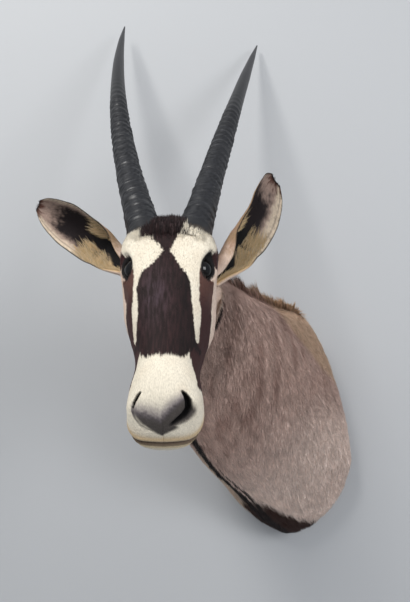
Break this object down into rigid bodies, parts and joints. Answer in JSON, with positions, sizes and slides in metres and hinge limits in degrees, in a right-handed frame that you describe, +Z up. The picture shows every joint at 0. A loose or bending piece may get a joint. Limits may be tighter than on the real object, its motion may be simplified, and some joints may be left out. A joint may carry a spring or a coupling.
{
  "type": "gemsbok shoulder mount",
  "caption": "Life-size mounted gemsbok head, neck and shoulder with long ringed horns, turned from a flat oval back board that hangs on a wall.",
  "frame": {"origin": "on the wall face of the back board, a hand's breadth above the middle of its lower half, in the wall plane", "axes": "+Y into the wall, +Z up, +X towards the animal's left; the mount stands out towards -Y"},
  "size_m": [0.6591, 0.6546, 1.3157],
  "materials": {
    "hide": "short greyish fawn hair with dark and pale markings",
    "face": "short cream hair with dark brown mask and stripes",
    "ear": "cream and tan hair, dark brown patch inside",
    "horn": "ringed keratin, satin charcoal, smoother towards the tip",
    "eye": "dark polished glass eye",
    "board": "plain sawn plywood"
  },
  "bodies": {
    "root": {"back_board": "board", "torso": "hide", "neck": "hide", "head": "face", "ear_left": "ear", "ear_right": "ear", "eye_left": "eye", "eye_right": "eye", "horn_left": "horn", "horn_right": "horn"}
  },
  "joints": []
}
